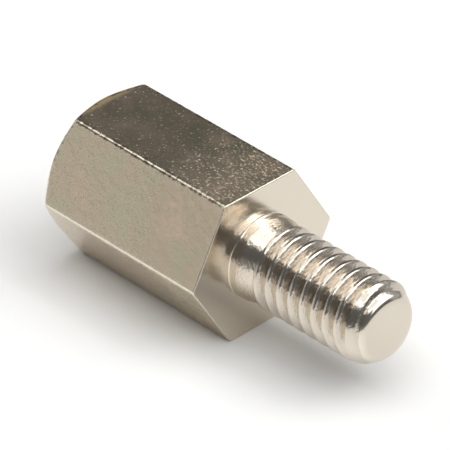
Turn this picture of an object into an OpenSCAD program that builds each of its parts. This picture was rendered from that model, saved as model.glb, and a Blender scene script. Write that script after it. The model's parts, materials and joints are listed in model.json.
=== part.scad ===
// Male-female hex standoff, turned from one length of hexagon bar.
// The bar's axis lies along X. The origin is the centre of the shoulder face: the stud
// points along +X, the body reaches back along -X, and a flat of the hexagon faces down.

/* [Hexagon body] */
// Distance between two opposite flats of the bar
across_flats = 7.0; // [6.0:0.1:10.0]
// Length of the body, which is the gap that the standoff keeps
body_length = 10.0; // [9.5:0.5:40.0]
// Radius of the long edges, as drawn bar has it
corner_radius = 0.2; // [0.1:0.05:0.4]
// Bevel that breaks the edges between the shoulder face and the flats
edge_break = 0.06; // [0.02:0.01:0.15]
// Angle of the turned chamfer at the tapped end, from the end face
chamfer_angle = 36; // [25:1:50]
// How far inside the flats the chamfer meets the end face
chamfer_inset = 0.09; // [0.02:0.01:0.3]

/* [Threaded stud] */
// Length of the stud from the shoulder face to its tip
stud_length = 7.75; // [5.0:0.25:20.0]
// Diameter over the thread crests
thread_d = 3.88; // [3.0:0.02:4.8]
// Diameter of the plain shank that the thread stops short of
shank_d = 3.94; // [3.0:0.02:4.9]
// Length of the plain shank from the shoulder face
shank_length = 0.5; // [0.2:0.1:1.5]
// Radius left by the tool where the shank meets the shoulder face
root_fillet = 0.06; // [0.02:0.01:0.2]
// Length of the tip's chamfer along the stud
tip_chamfer_length = 0.8; // [0.4:0.05:1.2]
// Angle of the tip's chamfer, from the stud's axis
tip_chamfer_angle = 32; // [20:1:40]
// Radius that rounds the chamfer into the tip's flat face
tip_edge_radius = 0.5; // [0.1:0.05:0.6]

/* [Tapped hole] */
// Diameter of the tapping drill, which is the wall that the thread is cut in
tap_drill_d = 3.3; // [2.5:0.05:4.2]
// Depth of the drill's full diameter, from the tapped end's face
drill_depth = 7.5; // [5.0:0.25:7.75]
// Angle of the drill's point, from side to side
drill_point_angle = 118; // [90:2:140]
// Diameter of the countersink at the hole's mouth
countersink_d = 4.3; // [4.2:0.05:5.0]
// Angle of the countersink, from side to side
countersink_angle = 90; // [60:5:120]

/* [Hidden] */
$fn = 96;
nickel = "#b9ad9a";
// Overlap that keeps joined solids from only touching, and cutters clear of a face
overlap = 0.5;
// How far the round edges rise past the flats, so that the two cross and don't only touch
crossing = 0.0005;
flat_count = 6;
flat_step = 360 / flat_count;

flat_radius = across_flats / 2;
end_face_radius = flat_radius - chamfer_inset;
corner_reach = flat_radius / cos(flat_step / 2);
chamfer_length = (corner_reach - end_face_radius) * tan(chamfer_angle);

thread_radius = thread_d / 2;
shank_radius = shank_d / 2;
// The step from the shank down to the thread is a 45 degree cone
shank_step = abs(shank_radius - thread_radius);
tip_cone_start = stud_length - tip_chamfer_length;
tip_cone_radius = thread_radius - tip_chamfer_length * tan(tip_chamfer_angle);
// Centre of the arc that touches both the chamfer's cone and the tip's face
tip_arc_tangent = tip_edge_radius * tan((90 - tip_chamfer_angle) / 2);
tip_arc_centre = [tip_cone_radius - tip_arc_tangent, stud_length - tip_edge_radius];
tip_arc_start = tip_arc_centre + tip_edge_radius * [cos(tip_chamfer_angle), sin(tip_chamfer_angle)];
root_fillet_centre = [shank_radius + root_fillet, root_fillet];

drill_radius = tap_drill_d / 2;
drill_point_length = drill_radius / tan(drill_point_angle / 2);
countersink_depth = (countersink_d - tap_drill_d) / 2 / tan(countersink_angle / 2);

// Hexagon with two flats across X and round corners, for the bar's section
module bar_section() {
    core_flats = across_flats - 2 * corner_radius;
    core_side = core_flats / sqrt(3);
    rotate(flat_step / 2)
        circle(r = core_side, $fn = flat_count);
    for (side = [0 : flat_count / 2 - 1])
        rotate(side * flat_step)
            square([across_flats, core_side], center = true);
    for (corner = [0 : flat_count - 1])
        rotate((corner + 0.5) * flat_step)
            translate([core_side, 0])
                circle(r = corner_radius + crossing);
}

// Turned blank that cuts the chamfer at the tapped end, from z = 0 up
module chamfer_blank() {
    rotate_extrude()
        polygon([
            [0, 0],
            [end_face_radius, 0],
            [corner_reach + overlap, chamfer_length + overlap * tan(chamfer_angle)],
            [corner_reach + overlap, body_length],
            [0, body_length]
        ]);
}

// Block whose inner face is the bevel between one flat and the shoulder face
module edge_break_cutter() {
    translate([flat_radius - edge_break / 2, 0, body_length - edge_break / 2])
        rotate([0, -45, 0])
            translate([0, -across_flats / 2, -overlap])
                cube([overlap, across_flats, 2 * overlap]);
}

// The hexagon body, with the tapped end's face at z = 0
module hexagon_body() {
    difference() {
        intersection() {
            linear_extrude(height = body_length)
                bar_section();
            chamfer_blank();
        }
        for (side = [0 : flat_count - 1])
            rotate(side * flat_step)
                edge_break_cutter();
    }
}

// Half section of the stud, with the radius across and the length up
module stud_section() {
    difference() {
        union() {
            polygon([
                [0, -overlap],
                [root_fillet_centre.x, -overlap],
                root_fillet_centre,
                [shank_radius, root_fillet],
                [shank_radius, shank_length],
                [thread_radius, shank_length + shank_step],
                [thread_radius, tip_cone_start],
                tip_arc_start,
                [tip_arc_centre.x, stud_length],
                [0, stud_length]
            ]);
            translate(tip_arc_centre)
                circle(r = tip_edge_radius + crossing);
        }
        translate(root_fillet_centre)
            circle(r = root_fillet + crossing);
    }
}

// The stud, with the shoulder face at z = 0 and its foot sunk into the body
module stud() {
    rotate_extrude()
        stud_section();
}

// The tapped hole's drilled form, with its mouth at z = 0
module tapped_hole() {
    cylinder(d = tap_drill_d, h = drill_depth);
    translate([0, 0, drill_depth])
        cylinder(r1 = drill_radius, r2 = 0, h = drill_point_length);
    translate([0, 0, -overlap])
        cylinder(
            r1 = countersink_d / 2 + overlap * tan(countersink_angle / 2),
            r2 = drill_radius,
            h = countersink_depth + overlap
        );
}

module standoff() {
    color(nickel)
        rotate([0, 90, 0])
            difference() {
                union() {
                    translate([0, 0, -body_length])
                        hexagon_body();
                    stud();
                }
                translate([0, 0, -body_length])
                    tapped_hole();
            }
}

standoff();
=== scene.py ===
"""Hex standoff in nickel-plated brass: a hexagon body with a tapped hole and a threaded stud.

The whole piece is one closed skin. Each surface is a grid of points worked out from a formula,
the grids meet edge to edge, and they are welded into one mesh. Sizes are in millimetres up to
the point where the mesh is made. The axis lies along X, with the shoulder face at x = 0, and
angles run from +Z towards -Y, which is the way a right-hand screw turns to go along +X.
"""

import json
import logging
import math
from collections.abc import Mapping, Sequence
from dataclasses import dataclass
from enum import Enum
from functools import cached_property
from typing import Any

import bmesh
import bpy
import numpy as np
from mathutils import Matrix, Vector
from numpy.typing import NDArray


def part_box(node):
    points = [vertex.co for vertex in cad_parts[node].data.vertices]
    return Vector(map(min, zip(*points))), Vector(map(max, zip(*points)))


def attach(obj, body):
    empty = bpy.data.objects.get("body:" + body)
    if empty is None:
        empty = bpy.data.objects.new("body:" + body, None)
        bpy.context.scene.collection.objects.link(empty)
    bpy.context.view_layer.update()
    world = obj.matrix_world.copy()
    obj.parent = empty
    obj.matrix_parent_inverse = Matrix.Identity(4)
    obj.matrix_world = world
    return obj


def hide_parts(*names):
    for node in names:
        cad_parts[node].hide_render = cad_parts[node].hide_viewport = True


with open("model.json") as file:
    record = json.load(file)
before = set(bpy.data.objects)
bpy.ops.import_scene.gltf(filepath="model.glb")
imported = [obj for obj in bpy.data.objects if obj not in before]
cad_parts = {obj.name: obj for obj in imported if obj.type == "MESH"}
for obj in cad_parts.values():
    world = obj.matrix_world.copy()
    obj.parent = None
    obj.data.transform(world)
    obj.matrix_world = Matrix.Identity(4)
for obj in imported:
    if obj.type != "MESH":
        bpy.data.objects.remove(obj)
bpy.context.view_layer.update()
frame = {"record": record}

Array = NDArray[np.float64]
Tree = bpy.types.NodeTree
Node = bpy.types.Node
Socket = bpy.types.NodeSocket
Colour = tuple[float, float, float, float]

LOG = logging.getLogger("standoff")
MM = 0.001  # metres in a millimetre
NODE = "standoff"
SIDES = 6
SIDE_ANGLE = 2 * math.pi / SIDES
HALF_SIDE = SIDE_ANGLE / 2
COLUMNS_PER_SIDE = 40
COLUMNS = SIDES * COLUMNS_PER_SIDE  # columns of every grid round the axis

# Colour sockets of a Mix node, by number, because their names repeat.
MIX_SHARE = 0
MIX_FIRST = 6
MIX_SECOND = 7
MIX_RESULT = 2


# ---------------------------------------------------------------- colours and nodes


def linear(hex_colour: str) -> Colour:
    """Turn an sRGB hex colour into linear RGBA.

    Args:
        hex_colour: six hex digits after a hash.

    Returns:
        Red, green, blue and an alpha of 1.
    """
    srgb = np.array([int(hex_colour[i : i + 2], 16) for i in (1, 3, 5)]) / 255
    rgb = np.where(srgb <= 0.04045, srgb / 12.92, ((srgb + 0.055) / 1.055) ** 2.4)
    return (*map(float, rgb), 1.0)


def add_node(
    tree: Tree,
    kind: str,
    settings: Mapping[str | int, object] | None = None,
    links: Mapping[str | int, Socket] | None = None,
) -> Node:
    """Add one node, with its settings and what feeds it.

    Args:
        tree: the node tree to add to.
        kind: the node's type name.
        settings: values by input socket name, by number where names repeat, or by property.
        links: output sockets by the input socket that each one feeds.

    Returns:
        The new node.
    """
    node = tree.nodes.new(kind)
    for name, value in (settings or {}).items():
        if isinstance(name, int) or name in node.inputs:
            node.inputs[name].default_value = value
        else:
            setattr(node, name, value)
    for name, source in (links or {}).items():
        tree.links.new(source, node.inputs[name])
    return node


def empty_material(name: str) -> tuple[bpy.types.Material, Tree]:
    """Start a material that has no nodes yet.

    Args:
        name: the material's name.

    Returns:
        The material and its node tree.
    """
    made = bpy.data.materials.new(name)
    made.use_nodes = True
    made.node_tree.nodes.clear()
    return made, made.node_tree


# ---------------------------------------------------------------- grids


def circle_points(x: Array | float, radius: Array | float, angle: Array) -> Array:
    """Points round the axis: y = -radius sin(angle), z = radius cos(angle).

    Args:
        x: distance along the axis.
        radius: distance from the axis.
        angle: angle from +Z towards -Y, in radians.

    Returns:
        The points, with x, y and z in the last dimension.
    """
    x, radius, angle = np.broadcast_arrays(x, radius, angle)
    return np.stack([x, -radius * np.sin(angle), radius * np.cos(angle)], axis=-1)


def ruled(first: Array, last: Array, shares: Sequence[float] | Array) -> Array:
    """Straight lines between two rings: (1 - share) first + share last."""
    w = np.asarray(shares)[:, None, None]
    return (1 - w) * first + w * last


def rounded(first: Array, corner: Array, last: Array, rows: int) -> Array:
    """A parabola from one ring to another that leaves and arrives towards a corner ring.

    The points are (1 - w)^2 first + 2 w (1 - w) corner + w^2 last.

    Args:
        first: ring where the rounding starts.
        corner: ring of the sharp edge that it rounds off.
        last: ring where the rounding ends.
        rows: steps across the rounding.

    Returns:
        A grid of rows + 1 rings.
    """
    w = np.linspace(0, 1, rows + 1)[:, None, None]
    return (1 - w) ** 2 * first + 2 * w * (1 - w) * corner + w**2 * last


def held(reach: float, steps: int) -> Array:
    """Shares from 0 to 1 with one step in the middle and the rest within reach of both ends."""
    near = np.linspace(0, reach, steps + 1)
    return np.concatenate([near, 1 - near[::-1]])


def soft_min(a: Array, b: Array, blend: float) -> Array:
    """The smaller of two values, with a parabola of width blend where they cross."""
    near = np.clip(1 - np.abs(a - b) / blend, 0, 1)
    return np.minimum(a, b) - blend / 4 * near**2


def soft_max(a: Array, b: Array, blend: float) -> Array:
    """The larger of two values, with a parabola of width blend where they cross."""
    return -soft_min(-a, -b, blend)


class Surface(Enum):
    """How a surface was made, in the order of the piece's material slots."""

    DRAWN = 0
    TURNED = 1
    THREADED = 2


@dataclass
class Band:
    """One grid of the skin: rows along the surface by columns round the axis."""

    points: Array
    surface: Surface
    edge: Array | float = 0.0  # 1 on a rounded edge, falling to 0 on the faces beside it

    @property
    def edges(self) -> Array:
        """The edge value at every point."""
        return np.broadcast_to(self.edge, self.points.shape[:2])


# ---------------------------------------------------------------- the piece's three parts


@dataclass(frozen=True)
class ThreadForm:
    """Section of a 60 degree metric thread, outside or inside."""

    pitch: float = 0.7
    pitch_radius: float = 1.787
    top: float = 1.94  # radius at the crest of a stud, or at the groove of a hole
    bottom: float = 1.51  # radius at the groove of a stud, or at the crest of a hole
    top_blend: float = 0.09  # how widely the top's edge is rounded
    bottom_blend: float = 0.16
    flank_angle: float = math.radians(30)
    # Rows across half a pitch, as shares of the whole.
    knots: tuple[float, ...] = (0.035, 0.07, 0.105, 0.14, 0.175, 0.21, 0.3, 0.37, 0.43)

    @property
    def phases(self) -> Array:
        """Rows across one pitch, as shares of it: close together at the crest and the groove."""
        half = np.array(self.knots)
        return np.concatenate([[0.0], half, [0.5], 1 - half[::-1]])

    def radius(self, turns: Array) -> Array:
        """Radius of the cut, by turns from the middle of the top.

        The flank is a straight line, pitch_radius + (pitch / 4 - distance) / tan(flank angle).
        Soft limits at the top and the bottom round it off.

        Args:
            turns: turns from the middle of the top.

        Returns:
            The radius at each of them.
        """
        distance = np.abs(turns - np.round(turns)) * self.pitch
        flank = self.pitch_radius + (self.pitch / 4 - distance) / math.tan(self.flank_angle)
        cut = soft_max(flank, np.full_like(flank, self.bottom), self.bottom_blend)
        return soft_min(cut, np.full_like(flank, self.top), self.top_blend)

    def rows(self, start: float, turns: int, share: Array) -> tuple[Array, Array]:
        """Rows that follow the helix between two plain rings.

        The distance is start + pitch (a + b share). In the first turn a is 0 and b grows, so
        the rows fan out from the ring. Then b is 1 and a grows. In the last turn a + b share
        closes up on the ring at start + pitch (turns + 1).

        Args:
            start: distance of the first ring.
            turns: whole turns of helical rows between the two fans.
            share: share of a turn round the axis at each column, rising with the helix.

        Returns:
            Distance along the axis, and turns from the crest, at every row and column.
        """
        phase = np.append(self.phases, 1.0)
        inner = (np.arange(turns)[:, None] + phase[1:]).ravel()
        a = np.concatenate([np.zeros_like(phase), inner, turns + phase[1:]])
        b = np.concatenate([phase, np.ones_like(inner), 1 - phase[1:]])
        along = a[:, None] + b[:, None] * share
        return start + self.pitch * along, along - share


@dataclass(frozen=True)
class HexBody:
    """Length of hexagon bar, faced at the shoulder and chamfered at the tapped end."""

    across_flats: float
    length: float
    seam: float  # angle of the grids' first column
    corner_radius: float = 0.2
    edge_break: float = 0.06
    chamfer_angle: float = math.radians(36)
    chamfer_inset: float = 0.09
    chamfer_rounding: float = 0.13  # how far the tumbled chamfer edge is rounded back
    end_rounding: float = 0.05
    wear_reach: float = 0.12  # how far the rubbing of an edge reaches on to its faces
    corner_steps: int = 12
    break_rows: int = 4  # rows across a small rounding
    chamfer_rows: int = 8  # rows across the tumbled chamfer edge
    # Share of a face where its rows crowd towards each rim, and how many there are.
    end_rows: tuple[float, int] = (0.05, 2)
    cone_rows: tuple[float, int] = (0.1, 2)
    shoulder_rows: tuple[float, int] = (0.1, 5)
    flat_rows: int = 6

    @property
    def end_radius(self) -> float:
        """Radius where the chamfer meets the end face."""
        return self.across_flats / 2 - self.chamfer_inset

    @property
    def flat_share(self) -> Array:
        """Place of each of a side's columns along the flat: (1 - cos(pi t)) / 2 for even t.

        Returns:
            Shares of the flat from 0 to 1, close together at its ends.
        """
        half = self.corner_steps // 2
        even = np.linspace(0, 1, COLUMNS_PER_SIDE - self.corner_steps + 1)
        flat = (1 - np.cos(np.pi * even)) / 2
        return np.concatenate([np.zeros(half), flat, np.ones(half - 1)])

    @property
    def lean(self) -> Array:
        """Direction of the outline's normal at each of a side's columns.

        Returns:
            Angles from the side's first corner: even steps on the corners' arcs, and half a
            side's angle all along the flat.
        """
        half = self.corner_steps // 2
        arc = np.linspace(0, HALF_SIDE, half + 1)
        flat = np.full(COLUMNS_PER_SIDE - self.corner_steps - 1, arc[-1])
        return np.concatenate([arc, flat, arc[-1] + arc[:-1]])

    @cached_property
    def columns(self) -> tuple[Array, Array]:
        """Where every column lies, from the seam on.

        Returns:
            The number of its side, and its place within the side.
        """
        step = 2 * np.pi / COLUMNS
        first = round((self.seam - HALF_SIDE) / step)
        return np.divmod(first + np.arange(COLUMNS + 1), COLUMNS_PER_SIDE)

    def outline(self, inset: float = 0.0) -> tuple[Array, Array]:
        """Radius and angle of the bar's outline at every column.

        The outline is a smaller hexagon's, pushed out along its normal by the corner radius.

        Args:
            inset: how far the outline is moved in.

        Returns:
            The radius and the angle.
        """
        side, column = self.columns
        share, lean = self.flat_share[column], self.lean[column]
        core = (self.across_flats / 2 - self.corner_radius) / math.cos(HALF_SIDE)
        out = self.corner_radius - inset
        u = core * (1 - share + share * math.cos(SIDE_ANGLE)) + out * np.cos(lean)
        v = core * share * math.sin(SIDE_ANGLE) + out * np.sin(lean)
        return np.hypot(u, v), np.arctan2(v, u) + HALF_SIDE + SIDE_ANGLE * side

    def corner_nearness(self) -> Array:
        """How near every column is to a long edge.

        Returns:
            1 on the edges, falling to 0 over the wear's reach on the flats.
        """
        share = self.flat_share[self.columns[1]]
        width = (self.across_flats - 2 * self.corner_radius) * math.tan(HALF_SIDE)
        return np.clip(1 - np.minimum(share, 1 - share) * width / self.wear_reach, 0, 1)

    def chamfer_x(self, radius: Array) -> Array:
        """Place along the axis of the chamfer's cone at a radius."""
        return -self.length + (radius - self.end_radius) * math.tan(self.chamfer_angle)

    def bands(self, mouth: Array, root: Array) -> list[Band]:
        """The body's surfaces, from the hole's mouth to the stud's root.

        Args:
            mouth: ring where the end face starts.
            root: ring where the shoulder face ends.

        Returns:
            The bands in order, each starting on the ring where the last one ended.
        """
        radius, angle = self.outline()
        end = circle_points(-self.length, self.end_radius, angle)
        end_in = circle_points(-self.length, self.end_radius - self.end_rounding, angle)
        edge_radius = self.end_radius + self.end_rounding
        end_out = circle_points(self.chamfer_x(edge_radius), edge_radius, angle)
        rear = circle_points(self.chamfer_x(radius), radius, angle)
        back = radius - self.chamfer_rounding * math.cos(self.chamfer_angle)
        back = np.maximum(back, (edge_radius + radius) / 2)
        rear_in = circle_points(self.chamfer_x(back), back, angle)
        rear_out = rear + np.array([self.chamfer_rounding, 0, 0])
        sharp = circle_points(0.0, radius, angle)
        front = sharp - np.array([self.edge_break, 0, 0])
        face = circle_points(0.0, *self.outline(self.edge_break))

        along = held(self.wear_reach / self.length, self.flat_rows)
        flats = ruled(rear_out, front, along)
        to_rear = np.clip(1 - (flats[..., 0] - rear_out[:, 0]) / self.wear_reach, 0, 1)
        to_front = np.clip(1 + (flats[..., 0] - front[:, 0]) / self.wear_reach, 0, 1)
        worn = np.maximum(np.maximum(to_rear, to_front), self.corner_nearness())
        inwards = held(*self.shoulder_rows)
        width = np.linalg.norm(root - face, axis=-1)
        near_rim = np.clip(1 - inwards[:, None] * width / self.wear_reach, 0, 1)
        return [
            Band(ruled(mouth, end_in, held(*self.end_rows)), Surface.TURNED),
            Band(rounded(end_in, end, end_out, self.break_rows), Surface.TURNED, 1.0),
            Band(ruled(end_out, rear_in, held(*self.cone_rows)), Surface.TURNED),
            Band(rounded(rear_in, rear, rear_out, self.chamfer_rows), Surface.DRAWN, 1.0),
            Band(flats, Surface.DRAWN, worn),
            Band(rounded(front, sharp, face, self.break_rows), Surface.DRAWN, 1.0),
            Band(ruled(face, root, inwards), Surface.TURNED, near_rim),
        ]


@dataclass(frozen=True)
class ThreadedStud:
    """Stud turned on the bar, with its thread cut by a die that stops short of the shoulder."""

    length: float
    form: ThreadForm
    shank_radius: float = 1.97
    shank_length: float = 0.5
    root_fillet: float = 0.06
    cone_length: float = 0.8
    cone_angle: float = math.radians(32)
    tip_radius: float = 0.5
    thread_turns: int = 9
    crest_x: float = 1.46  # where the crest crosses crest_angle
    crest_angle: float = math.radians(44)
    neck_start: float = 0.42  # where the neck before the thread starts to taper
    neck_angle: float = math.radians(13.7)
    neck_end: float = 0.09  # the neck has risen to the thread this far before the first crest
    neck_blend: float = 0.03
    crest_return: float = 1.5  # pitches per turn in which the first crest comes back to its start
    lead_x: tuple[float, float] = (-0.02, 0.26)  # the die's lead, this far past the first crest,
    lead_depth: tuple[float, float] = (-0.03, 0.45)  # cuts this deep
    lead_blend: float = 0.03
    blank_blend: float = 0.012  # rounding where the thread leaves the blank's skin
    shank_rings: tuple[float, ...] = (0.1, 0.25, 0.38, 0.42, 0.46, 0.5)  # mm along the axis
    fillet_rings: int = 6
    tip_rings: int = 9
    face_shares: tuple[float, ...] = (0.0, 0.04, 0.2, 0.5, 0.8, 1.0)  # rim to middle of the tip

    @property
    def thread_start(self) -> float:
        """Where the thread's grid starts, on the neck."""
        return self.shank_length + self.shank_radius - self.form.top

    @property
    def seam(self) -> float:
        """Angle where the crest's helix crosses the plane that the thread's grid starts on."""
        turns = (self.thread_start - self.crest_x) / self.form.pitch
        return (self.crest_angle + 2 * np.pi * turns) % (2 * np.pi)

    @property
    def turn(self) -> Array:
        """Share of a turn at every column."""
        return np.linspace(0, 1, COLUMNS + 1)

    @property
    def angle(self) -> Array:
        """Angle at every column."""
        return self.seam + 2 * np.pi * self.turn

    @property
    def cone_start(self) -> float:
        """Where the tip's cone starts."""
        return self.length - self.cone_length

    @property
    def arc_radius(self) -> float:
        """Radius at the centre of the arc that joins the cone to the tip's face."""
        foot = self.form.top - self.cone_length * math.tan(self.cone_angle)
        return foot - self.tip_radius * math.tan((math.pi / 2 - self.cone_angle) / 2)

    @property
    def first_crest(self) -> Array:
        """Place of the first crest at every column: along the helix, then back to its start."""
        along = np.minimum(self.turn, self.crest_return * (1 - self.turn))
        return self.thread_start + self.form.pitch * (1 + along)

    def blank(self, x: Array) -> Array:
        """Radius of the stud before its thread: shank, neck, cylinder, the tip's cone and arc.

        The neck falls by x tan(neck angle) and rises again up the thread's flank angle. The cone
        falls by x tan(cone angle), and the arc is arc_radius + sqrt(tip_radius^2 - rise^2).

        Args:
            x: distance along the axis, with the columns in the last dimension.

        Returns:
            The radius at every place.
        """
        neck = self.shank_radius - np.maximum(x - self.neck_start, 0) * math.tan(self.neck_angle)
        past = x - self.first_crest + self.neck_end
        rise = self.form.top + np.minimum(past / math.tan(self.form.flank_angle), 0)
        neck = np.where(past > 0, self.form.top, soft_max(neck, rise, self.neck_blend))
        cone = self.form.top - (x - self.cone_start) * math.tan(self.cone_angle)
        rise = np.clip((x - self.length + self.tip_radius) / self.tip_radius, 0, 1)
        arc = self.arc_radius + self.tip_radius * np.sqrt(1 - rise**2)
        on_arc = x > self.length - self.tip_radius * (1 - math.sin(self.cone_angle))
        return np.where(on_arc, arc, np.minimum(cone, neck))

    def thread(self) -> Array:
        """Grid of the cut thread.

        Each radius is the lesser of the blank and the cut, and the cut is no deeper than the
        die's lead, whose depth follows a straight line between the places given.

        Returns:
            The grid, from the neck to the tip's cone.
        """
        x, turns = self.form.rows(self.thread_start, self.thread_turns, self.turn)
        lead = self.form.top - np.interp(x - self.first_crest, self.lead_x, self.lead_depth)
        cut = soft_max(self.form.radius(turns), lead, self.lead_blend)
        return circle_points(x, soft_min(cut, self.blank(x), self.blank_blend), self.angle)

    def root(self) -> Array:
        """Ring where the shoulder face meets the root's fillet."""
        return circle_points(0.0, self.shank_radius + self.root_fillet, self.angle)

    def bands(self) -> list[Band]:
        """The stud's surfaces: quarter circle, shank, thread, the tip's arc and its flat face.

        Returns:
            The bands in order, from the root to the middle of the tip.
        """
        bend = np.linspace(0, np.pi / 2, self.fillet_rings)[:, None]
        fillet_x = self.root_fillet * (1 - np.cos(bend))
        fillet_r = self.shank_radius + self.root_fillet * (1 - np.sin(bend))
        shank_x = np.array([self.root_fillet, *self.shank_rings, self.thread_start])[:, None]
        thread = self.thread()
        last_x = thread[-1, 0, 0]
        sine = (last_x - self.length + self.tip_radius) / self.tip_radius
        tip = np.linspace(math.asin(sine), np.pi / 2, self.tip_rings)[:, None]
        tip_x = self.length - self.tip_radius * (1 - np.sin(tip))
        tip_r = self.arc_radius + self.tip_radius * np.cos(tip)
        tip_grid = circle_points(tip_x, tip_r, self.angle)
        tip_grid[0] = thread[-1]
        shank = circle_points(shank_x, self.blank(shank_x), self.angle)
        shank[-1] = thread[0]
        middle = circle_points(self.length, 0.0, self.angle)
        return [
            Band(circle_points(fillet_x, fillet_r, self.angle), Surface.TURNED),
            Band(shank, Surface.THREADED),
            Band(thread, Surface.THREADED),
            Band(tip_grid, Surface.TURNED),
            Band(ruled(tip_grid[-1], middle, self.face_shares), Surface.TURNED),
        ]


@dataclass(frozen=True)
class TappedHole:
    """Blind hole with a drill's point, a tapped thread and a countersunk mouth."""

    mouth_x: float  # where the end face lies
    wall_radius: float
    seam: float
    depth: float = 7.5
    point_angle: float = math.radians(118)
    mouth_radius: float = 2.15
    thread_turns: int = 8
    thread_end: float = 0.12  # depth of the last ring of the thread's grid, on the countersink
    lead_length: float = 1.0
    lead_blend: float = 0.03
    groove_radius: float = 2.02
    point_shares: tuple[float, ...] = (0.0, 0.3, 0.7, 1.0)  # the drill's point, middle to rim
    wall_shares: tuple[float, ...] = (0.0, 0.5, 1.0)  # plain walls, deep end to outer end

    @property
    def form(self) -> ThreadForm:
        """The thread's section, with its grooves on the outside."""
        return ThreadForm(
            pitch_radius=1.79,
            top=self.groove_radius,
            bottom=self.wall_radius,
            top_blend=0.06,
            bottom_blend=0.03,
            knots=(0.06, 0.14, 0.28, 0.36),
        )

    def thread(self) -> Array:
        """Grid of the tapped thread, from its deep end to the countersink.

        Each radius is the cut's, no deeper than the tap's lead, and no less than the
        countersink's cone: mouth_radius - depth. Half a turn puts the grooves outside.

        Returns:
            The grid.
        """
        share = 1 - np.linspace(0, 1, COLUMNS + 1)
        form = self.form
        deep = self.thread_end + form.pitch * (self.thread_turns + 1)
        up, turns = form.rows(0.0, self.thread_turns, share)
        lead = self.wall_radius + up * (self.groove_radius - self.wall_radius) / self.lead_length
        cut = soft_min(form.radius(turns + 0.5), lead, self.lead_blend)
        cone = self.mouth_radius - (deep - up)
        return circle_points(self.mouth_x + deep - up, np.maximum(cut, cone), self.angle)

    @property
    def angle(self) -> Array:
        """Angle at every column."""
        return self.seam + 2 * np.pi * np.linspace(0, 1, COLUMNS + 1)

    def mouth(self) -> Array:
        """Ring where the countersink meets the end face."""
        return circle_points(self.mouth_x, self.mouth_radius, self.angle)

    def bands(self) -> list[Band]:
        """The hole's surfaces: the drill's point, plain wall, thread and countersink.

        Returns:
            The bands in order, from the point to the mouth.
        """
        point = self.wall_radius / math.tan(self.point_angle / 2)
        bottom = circle_points(self.mouth_x + self.depth + point, 0.0, self.angle)
        shelf = circle_points(self.mouth_x + self.depth, self.wall_radius, self.angle)
        thread = self.thread()
        return [
            Band(ruled(bottom, shelf, self.point_shares), Surface.TURNED),
            Band(ruled(shelf, thread[0], self.wall_shares), Surface.TURNED),
            Band(thread, Surface.THREADED),
            Band(ruled(thread[-1], self.mouth(), self.wall_shares), Surface.TURNED),
        ]


# ---------------------------------------------------------------- finishes


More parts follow.
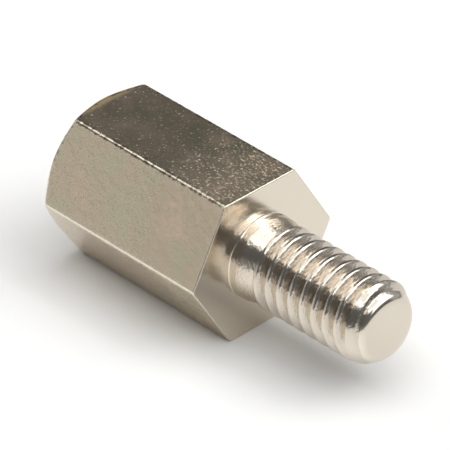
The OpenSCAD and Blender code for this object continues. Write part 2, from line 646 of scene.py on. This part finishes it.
@dataclass(frozen=True)
class NickelOnDrawnBar:
    """Bright nickel, barrel plated on drawn brass bar that had no polish.

    The plating follows the bar's skin, so the flats are satin with a leathery orange peel under a
    faint cloudy tint. Towards the shoulder they carry matt specks and rub marks, which look pale
    where a flat mirrors something dark. The upper edges have knocked together in the barrel, so
    dashes of tarnish break up their shine. The brass shows through the thin plating on the upper
    flat's far rim, and the lower flats are smoother and mirror more sharply.
    """

    nickel: str = "#dcccb3"
    warm: str = "#e3cfb8"
    cool: str = "#d4ccb0"
    rubbed: str = "#ddd3bf"  # on the long edges
    brass: str = "#cfb27a"  # through the thin plating
    tarnish: str = "#978c7a"  # in the nicks
    roughness: float = 0.21
    edge_roughness: float = 0.18

    # A cloudy tint, with a haze in its warmer parts. Sizes are in millimetres throughout, and a
    # span is the two values of a pattern between which its effect grows from nothing to full.
    tint_mm: float = 1.8
    tint_octaves: float = 5.0
    tint_gain: float = 0.65  # strength of each octave beside the one before
    tint_span: tuple[float, float] = (0.36, 0.64)
    haze_span: tuple[float, float] = (0.35, 0.65)
    haze_roughness: float = 0.075

    # Orange peel, coarser than the real one so that it shows.
    peel_mm: float = 0.35
    peel_octaves: float = 4.0
    peel_gain: float = 0.6
    peel_height: float = 0.015

    # Specks and rub marks, commoner towards the shoulder. They are coarser than real ones, so
    # that they show.
    struck_x: tuple[float, float] = (-5.0, -2.0)
    struck_share: float = 0.07
    mark_octaves: float = 1.5
    speck_mm: float = 0.12
    speck_span: tuple[float, float] = (0.64, 0.74)
    speck_roughness: float = 0.3
    rub_mm: tuple[float, float] = (0.05, 0.35)  # width and length
    rub_turns: tuple[float, ...] = (0.5, 2.0)  # radians; the ways that the rub marks lie
    rub_span: tuple[float, float] = (0.69, 0.78)
    rub_roughness: float = 0.22

    # Thin plating on the upper flat's far rim.
    rim_x: tuple[float, float] = (-9.4, -9.7)
    rim_z: tuple[float, float] = (3.2, 3.4)
    rim_share: float = 0.7
    rim_roughness: float = 0.2

    # Smoother lower flats.
    under_z: tuple[float, float] = (0.0, -0.5)
    under_roughness: float = -0.12

    # Nicks on the upper edges, clear of the faced end.
    nick_mm: float = 0.2
    nick_octaves: float = 2.0
    nick_span: tuple[float, float] = (0.5, 0.56)
    nick_edge: tuple[float, float] = (0.5, 1.0)
    nick_x: tuple[float, float] = (-0.12, -0.35)
    nick_z: tuple[float, float] = (0.5, 3.0)

    def material(self) -> bpy.types.Material:
        """Build the material: a colour, a roughness, and the peel's height.

        Returns:
            The material.
        """
        made, tree = empty_material("nickel_on_drawn_bar")
        place = add_node(tree, "ShaderNodeTexCoord").outputs["Object"]
        edge = add_node(tree, "ShaderNodeAttribute", {"attribute_name": "edge"}).outputs["Fac"]
        tint, peel = (
            add_node(
                tree,
                "ShaderNodeTexNoise",
                {"Scale": 1 / (size * MM), "Detail": octaves, "Roughness": gain},
                {"Vector": place},
            ).outputs["Fac"]
            for size, octaves, gain in (
                (self.tint_mm, self.tint_octaves, self.tint_gain),
                (self.peel_mm, self.peel_octaves, self.peel_gain),
            )
        )
        parted = add_node(tree, "ShaderNodeSeparateXYZ", None, {"Vector": place}).outputs
        struck, rim_x, rim_z, under, nick_x, nick_z = (
            add_node(
                tree,
                "ShaderNodeMapRange",
                {"From Min": start * MM, "From Max": end * MM, "To Max": most},
                {"Value": parted[axis]},
            ).outputs["Result"]
            for axis, (start, end), most in (
                ("X", self.struck_x, self.struck_share),
                ("X", self.rim_x, 1.0),
                ("Z", self.rim_z, 1.0),
                ("Z", self.under_z, self.under_roughness),
                ("X", self.nick_x, 1.0),
                ("Z", self.nick_z, 1.0),
            )
        )
        thin = add_node(tree, "ShaderNodeMath", {"operation": "MULTIPLY"}, {0: rim_x, 1: rim_z})
        brass, dull_rim = (
            add_node(
                tree,
                "ShaderNodeMath",
                {"operation": "MULTIPLY", 1: most},
                {0: thin.outputs[0]},
            ).outputs[0]
            for most in (self.rim_share, self.rim_roughness)
        )
        nicks = self.nicks(tree, place, edge, (nick_x, nick_z))
        covers = ((self.rubbed, edge), (self.brass, brass), (self.tarnish, nicks))
        marks = (struck, dull_rim, under, *self.marks(tree, place, struck))
        bump = add_node(
            tree, "ShaderNodeBump", {"Distance": self.peel_height * MM}, {"Height": peel}
        )
        shader = add_node(
            tree,
            "ShaderNodeBsdfPrincipled",
            {"Metallic": 1.0},
            {
                "Base Color": self.colour(tree, tint, covers),
                "Roughness": self.dullness(tree, edge, tint, marks),
                "Normal": bump.outputs["Normal"],
            },
        )
        add_node(tree, "ShaderNodeOutputMaterial", None, {"Surface": shader.outputs["BSDF"]})
        return made

    def nicks(self, tree: Tree, place: Socket, edge: Socket, limits: Sequence[Socket]) -> Socket:
        """Dashes along the edges: a pattern of the nicks' size, multiplied by its limits.

        Args:
            tree: the material's node tree.
            place: the coordinates.
            edge: 1 on the edges.
            limits: shares that keep the nicks to their part of the bar.

        Returns:
            A socket that is 1 in a nick.
        """
        pattern = add_node(
            tree,
            "ShaderNodeTexNoise",
            {"Scale": 1 / (self.nick_mm * MM), "Detail": self.nick_octaves},
            {"Vector": place},
        ).outputs["Fac"]
        dashes, near = (
            add_node(
                tree, "ShaderNodeMapRange", {"From Min": start, "From Max": end}, {"Value": value}
            ).outputs["Result"]
            for value, (start, end) in ((pattern, self.nick_span), (edge, self.nick_edge))
        )
        for limit in (near, *limits):
            dashes = add_node(
                tree, "ShaderNodeMath", {"operation": "MULTIPLY"}, {0: dashes, 1: limit}
            ).outputs[0]
        return dashes

    def marks(self, tree: Tree, place: Socket, struck: Socket) -> list[Socket]:
        """Specks, and rub marks that lie two ways.

        Args:
            tree: the material's node tree.
            place: the coordinates.
            struck: what is added to the patterns where the marks are commoner.

        Returns:
            The roughness that each kind of mark adds.
        """
        width, length = self.rub_mm
        drawn_out = (width / length, 1.0, width / length)
        rubs = [
            (turn, drawn_out, width, self.rub_span, self.rub_roughness) for turn in self.rub_turns
        ]
        specks = (0.0, (1.0, 1.0, 1.0), self.speck_mm, self.speck_span, self.speck_roughness)
        marks = []
        for turn, scale, size, (start, end), most in (specks, *rubs):
            laid = add_node(
                tree,
                "ShaderNodeMapping",
                {"Rotation": (0.0, turn, turn), "Scale": scale},
                {"Vector": place},
            )
            pattern = add_node(
                tree,
                "ShaderNodeTexNoise",
                {"Scale": 1 / (size * MM), "Detail": self.mark_octaves},
                {"Vector": laid.outputs["Vector"]},
            )
            raised = add_node(
                tree,
                "ShaderNodeMath",
                {"operation": "ADD"},
                {0: pattern.outputs["Fac"], 1: struck},
            )
            mark = add_node(
                tree,
                "ShaderNodeMapRange",
                {"From Min": start, "From Max": end, "To Max": most},
                {"Value": raised.outputs[0]},
            )
            marks.append(mark.outputs["Result"])
        return marks

    def colour(self, tree: Tree, tint: Socket, covers: Sequence[tuple[str, Socket]]) -> Socket:
        """Nickel clouded by the tint, with each shade laid over it in turn.

        Args:
            tree: the material's node tree.
            tint: the cloudy pattern.
            covers: each shade, and how much of what is under it it hides.

        Returns:
            The colour's socket.
        """
        ramp = add_node(tree, "ShaderNodeValToRGB", None, {"Fac": tint})
        stops = ramp.color_ramp.elements
        stops[0].position, stops[1].position = self.tint_span
        stops[0].color, stops[1].color = linear(self.cool), linear(self.warm)
        stops.new(sum(self.tint_span) / 2).color = linear(self.nickel)
        colour = ramp.outputs["Color"]
        for shade, share in covers:
            colour = add_node(
                tree,
                "ShaderNodeMix",
                {"data_type": "RGBA", MIX_SECOND: linear(shade)},
                {MIX_SHARE: share, MIX_FIRST: colour},
            ).outputs[MIX_RESULT]
        return colour

    def dullness(
        self, tree: Tree, edge: Socket, tint: Socket, marks: Sequence[Socket]
    ) -> Socket:
        """Roughness of the flats and edges, with the haze's and every mark's added.

        Args:
            tree: the material's node tree.
            edge: 1 on the edges.
            tint: the cloudy pattern.
            marks: the roughness that each mark adds.

        Returns:
            The roughness's socket.
        """
        haze = add_node(
            tree,
            "ShaderNodeMapRange",
            {
                "From Min": self.haze_span[0],
                "From Max": self.haze_span[1],
                "To Max": self.haze_roughness,
            },
            {"Value": tint},
        )
        rough = add_node(
            tree,
            "ShaderNodeMapRange",
            {"To Min": self.roughness, "To Max": self.edge_roughness},
            {"Value": edge},
        ).outputs["Result"]
        for mark in (haze.outputs["Result"], *marks):
            rough = add_node(
                tree, "ShaderNodeMath", {"operation": "ADD"}, {0: rough, 1: mark}
            ).outputs[0]
        return rough


@dataclass(frozen=True)
class NickelOnTurnedFace:
    """Bright nickel on faced and turned brass.

    The tool leaves rings too fine to feel, so the faces mirror what is near them softly.
    """

    nickel: str = "#e4dbcd"
    roughness: float = 0.17
    ring_mm: float = 0.06  # about a small lathe's feed in one turn
    ring_octaves: float = 2.0
    ring_height: float = 0.002
    ring_strength: float = 0.2

    def material(self) -> bpy.types.Material:
        """Build the material: rings by distance from the axis, sqrt(y^2 + z^2).

        Returns:
            The material.
        """
        made, tree = empty_material("nickel_on_turned_face")
        place = add_node(tree, "ShaderNodeTexCoord").outputs["Object"]
        across = add_node(
            tree,
            "ShaderNodeVectorMath",
            {"operation": "MULTIPLY", 1: (0.0, 1.0, 1.0)},
            {0: place},
        )
        radius = add_node(
            tree, "ShaderNodeVectorMath", {"operation": "LENGTH"}, {0: across.outputs["Vector"]}
        )
        rings = add_node(
            tree,
            "ShaderNodeTexNoise",
            {
                "noise_dimensions": "1D",
                "Scale": 1 / (self.ring_mm * MM),
                "Detail": self.ring_octaves,
            },
            {"W": radius.outputs["Value"]},
        )
        bump = add_node(
            tree,
            "ShaderNodeBump",
            {"Strength": self.ring_strength, "Distance": self.ring_height * MM},
            {"Height": rings.outputs["Fac"]},
        )
        shader = add_node(
            tree,
            "ShaderNodeBsdfPrincipled",
            {"Metallic": 1.0, "Roughness": self.roughness, "Base Color": linear(self.nickel)},
            {"Normal": bump.outputs["Normal"]},
        )
        add_node(tree, "ShaderNodeOutputMaterial", None, {"Surface": shader.outputs["BSDF"]})
        return made


@dataclass(frozen=True)
class NickelOnCutThread:
    """Bright nickel on a thread cut by a die.

    The die tears the brass a little as it turns, which leaves fine lines round the stud.
    """

    nickel: str = "#d5ccbf"
    roughness: float = 0.18
    line_mm: float = 0.08  # width of a line; coarser than real tears, so that they show
    line_slenderness: float = 0.35  # its width as a share of its length
    line_octaves: float = 3.0
    line_height: float = 0.019

    def material(self) -> bpy.types.Material:
        """Build the material: a pattern drawn out across the axis, as a height.

        Returns:
            The material.
        """
        made, tree = empty_material("nickel_on_cut_thread")
        place = add_node(tree, "ShaderNodeTexCoord").outputs["Object"]
        drawn_out = (1.0, self.line_slenderness, self.line_slenderness)
        stretch = add_node(
            tree, "ShaderNodeVectorMath", {"operation": "MULTIPLY", 1: drawn_out}, {0: place}
        )
        lines = add_node(
            tree,
            "ShaderNodeTexNoise",
            {"Scale": 1 / (self.line_mm * MM), "Detail": self.line_octaves},
            {"Vector": stretch.outputs["Vector"]},
        )
        bump = add_node(
            tree,
            "ShaderNodeBump",
            {"Distance": self.line_height * MM},
            {"Height": lines.outputs["Fac"]},
        )
        shader = add_node(
            tree,
            "ShaderNodeBsdfPrincipled",
            {"Metallic": 1.0, "Roughness": self.roughness, "Base Color": linear(self.nickel)},
            {"Normal": bump.outputs["Normal"]},
        )
        add_node(tree, "ShaderNodeOutputMaterial", None, {"Surface": shader.outputs["BSDF"]})
        return made


@dataclass(frozen=True)
class MattPaper:
    """Matt white paper: even, with no shine of its own."""

    white: str = "#fbfbfa"
    roughness: float = 0.9

    def material(self) -> bpy.types.Material:
        """Build the material.

        Returns:
            The material.
        """
        made, tree = empty_material("matt_paper")
        shader = add_node(
            tree,
            "ShaderNodeBsdfDiffuse",
            {"Color": linear(self.white), "Roughness": self.roughness},
        )
        add_node(tree, "ShaderNodeOutputMaterial", None, {"Surface": shader.outputs["BSDF"]})
        return made


# ---------------------------------------------------------------- the piece


def mount(name: str) -> dict[str, Any]:
    """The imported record's mount of that name."""
    return next(m for m in frame["record"]["mounts"] if m["name"] == name)


@dataclass
class Standoff:
    """The whole piece: hole, body and stud sewn into one skin."""

    name: str = "hex_standoff"
    sharp_from: float = math.radians(38)  # edges that turn by more stay sharp
    weld: float = 1e-5  # millimetres between points that are one point

    def bands(self) -> list[Band]:
        """Every band of the skin, with the sizes that the frame gives.

        Returns:
            The bands in order, from the bottom of the hole to the tip of the stud.
        """
        low, high = (np.array(corner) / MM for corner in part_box(NODE))
        stud_size, hole_size = mount("stud")["dims"], mount("tapped_hole")["dims"]
        end_x = mount("tapped_end")["pos_m"][0] / MM
        flat_radius = -mount("underside")["pos_m"][2] / MM
        stud = ThreadedStud(
            length=round(float(high[0]), 2), form=ThreadForm(top=stud_size["r_mm"])
        )
        hole = TappedHole(mouth_x=end_x, wall_radius=hole_size["r_mm"], seam=stud.seam)
        body = HexBody(across_flats=2 * flat_radius, length=-end_x, seam=stud.seam)
        LOG.info("body %.2f mm over its flats, %.2f mm long", body.across_flats, body.length)
        LOG.info("stud %.2f mm long, box from %s to %s", stud.length, low.round(3), high.round(3))
        return hole.bands() + body.bands(hole.mouth(), stud.root()) + stud.bands()

    def build(self) -> bpy.types.Object:
        """Sew the bands into one closed mesh.

        A band's faces join the grid's neighbours (row, column), (row, column + 1),
        (row + 1, column + 1) and (row + 1, column). Points that coincide, at the seam, at the
        poles and where bands meet, are then welded.

        Returns:
            The piece's object, at the origin.
        """
        bands = self.bands()
        starts = np.cumsum([0] + [b.points.shape[0] * b.points.shape[1] for b in bands])
        faces, slots = [], []
        for band, start in zip(bands, starts):
            number = start + np.arange(band.points[..., 0].size).reshape(band.points.shape[:2])
            quads = [number[:-1, :-1], number[:-1, 1:], number[1:, 1:], number[1:, :-1]]
            faces.append(np.stack(quads, axis=-1).reshape(-1, 4))
            slots.append(np.full(len(faces[-1]), band.surface.value))
        points = np.concatenate([b.points.reshape(-1, 3) for b in bands]) * MM
        mesh = bpy.data.meshes.new(self.name)
        mesh.from_pydata(points, [], np.concatenate(faces))
        mesh.polygons.foreach_set("material_index", np.concatenate(slots).astype(np.int32))
        worn = mesh.attributes.new("edge", "FLOAT", "POINT")
        worn.data.foreach_set("value", np.concatenate([b.edges.ravel() for b in bands]))
        skin = bmesh.new()
        skin.from_mesh(mesh)
        bmesh.ops.remove_doubles(skin, verts=skin.verts, dist=self.weld * MM)
        open_edges = sum(not e.is_manifold for e in skin.edges)
        volume = skin.calc_volume(signed=True) / MM**3
        skin.to_mesh(mesh)
        skin.free()
        mesh.shade_smooth()
        mesh.set_sharp_from_angle(angle=self.sharp_from)
        counts = (len(mesh.polygons), open_edges, volume)
        LOG.info("%s: %d faces, %d open edges, %.1f mm3", self.name, *counts)
        piece = bpy.data.objects.new(self.name, mesh)
        bpy.context.scene.collection.objects.link(piece)
        return piece

    def dress(self, piece: bpy.types.Object) -> None:
        """Give each surface its finish, and tie the piece to the frame.

        Args:
            piece: the object that build() made.
        """
        finishes = {
            Surface.DRAWN: NickelOnDrawnBar(),
            Surface.TURNED: NickelOnTurnedFace(),
            Surface.THREADED: NickelOnCutThread(),
        }
        for surface in Surface:
            piece.data.materials.append(finishes[surface].material())
        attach(piece, "root")
        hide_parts(NODE)


# ---------------------------------------------------------------- the studio


@dataclass(frozen=True)
class Softbox:
    """Flat lamp that shines evenly from the whole of its face."""

    name: str
    place: tuple[float, float, float]  # metres, the middle of its face
    facing: tuple[float, float, float]
    size: tuple[float, float]  # metres
    level: float  # brightness of its face, where white paper in plain light is about 1

    def light(self) -> None:
        """Add the lamp: its power is level x pi x area."""
        lamp = bpy.data.lights.new(self.name, "AREA")
        lamp.shape = "RECTANGLE"
        lamp.size, lamp.size_y = self.size
        lamp.energy = self.level * math.pi * self.size[0] * self.size[1]
        shown = bpy.data.objects.new(self.name, lamp)
        shown.location = self.place
        shown.rotation_euler = Vector(self.facing).to_track_quat("-Z", "Y").to_euler()
        bpy.context.scene.collection.objects.link(shown)


@dataclass(frozen=True)
class Camera:
    """Long lens above and to the right of the stud."""

    azimuth: float = math.radians(48.35)
    elevation: float = math.radians(34.382)
    roll: float = math.radians(-2.032)
    distance: float = 236.114  # mm from the shoulder to the lens, along the view
    right: float = -1.597  # mm that the lens is moved across the view
    up: float = 1.317  # mm that it is moved up the view
    image: float = 450.0  # pixels across the render
    focal: float = 5530.6  # focal length in those pixels
    sensor: float = 36.0  # mm
    clip: tuple[float, float] = (0.01, 100.0)  # metres

    def place(self) -> None:
        """Add the camera, looking along the view that its angles give."""
        a, e, r = self.azimuth, self.elevation, self.roll
        back = Vector((math.sin(a) * math.cos(e), -math.cos(a) * math.cos(e), math.sin(e)))
        level = Vector((math.cos(a), math.sin(a), 0))
        right = math.cos(r) * level + math.sin(r) * back.cross(level)
        up = back.cross(right)
        data = bpy.data.cameras.new("camera")
        data.sensor_width = self.sensor
        data.lens = self.sensor * self.focal / self.image
        data.clip_start, data.clip_end = self.clip
        camera = bpy.data.objects.new("camera", data)
        turned = Matrix((right, up, back)).transposed().to_4x4()
        lens = (back * self.distance + right * self.right + up * self.up) * MM
        camera.matrix_world = Matrix.Translation(lens) @ turned
        bpy.context.scene.collection.objects.link(camera)
        bpy.context.scene.camera = camera


@dataclass(frozen=True)
class Studio:
    """Pale floor, soft lamps and a dim room round them."""

    room: str = "#606060"
    floor_radius: float = 4.0  # metres
    floor_sides: int = 64
    lamps: tuple[Softbox, ...] = (
        Softbox("over_rear", (-0.275, -0.08, 1.2), (0.0, 0.0, -1.0), (0.45, 1.32), 2.05),
        Softbox("over_left", (0.475, -0.58, 1.2), (0.0, 0.0, -1.0), (1.05, 0.32), 2.6),
        Softbox("over_middle", (0.6, 0.0, 1.2), (0.0, 0.0, -1.0), (1.3, 0.84), 1.15),
        Softbox("over_right", (0.6, 0.8, 1.2), (0.0, 0.0, -1.0), (1.3, 0.76), 2.95),
        Softbox("right", (0.87, 0.5, 1.0), (-0.87, -0.5, 0.0), (1.7, 0.9), 1.8),
        Softbox("back", (0.4, 1.25, 0.6), (0.0, -1.0, 0.0), (1.6, 1.0), 0.3),
        Softbox("left", (-0.99, -0.12, 0.86), (0.99, 0.12, 0.0), (0.7, 1.48), 1.5),
        Softbox("left_low", (-0.56, -0.83, 0.175), (0.56, 0.83, 0.0), (0.8, 0.25), 0.52),
    )

    def floor(self) -> None:
        """Add the floor: a disc under the flat that the piece lies on."""
        height = mount("underside")["pos_m"][2]
        turn = np.linspace(0, 2 * np.pi, self.floor_sides, endpoint=False)
        rim = self.floor_radius * np.stack([np.cos(turn), np.sin(turn)], axis=-1)
        points = np.column_stack([rim, np.full(self.floor_sides, height)])
        mesh = bpy.data.meshes.new("floor")
        mesh.from_pydata(points, [], [range(self.floor_sides)])
        mesh.materials.append(MattPaper().material())
        floor = bpy.data.objects.new("floor", mesh)
        bpy.context.scene.collection.objects.link(floor)

    def build(self) -> None:
        """Add the floor, the lamps, the room's light and the camera."""
        scene = bpy.context.scene
        scene.view_settings.view_transform = "Standard"
        scene.world = bpy.data.worlds.new("room")
        scene.world.use_nodes = True
        background = scene.world.node_tree.nodes["Background"]
        background.inputs["Color"].default_value = linear(self.room)
        self.floor()
        for lamp in self.lamps:
            lamp.light()
        Camera().place()
        LOG.info("studio: floor, %d lamps and camera", len(self.lamps))


def main() -> None:
    """Build the piece and the studio."""
    logging.basicConfig(level=logging.INFO, format="%(name)s: %(message)s")
    standoff = Standoff()
    piece = standoff.build()
    standoff.dress(piece)
    Studio().build()


if __name__ == "__main__":
    main()
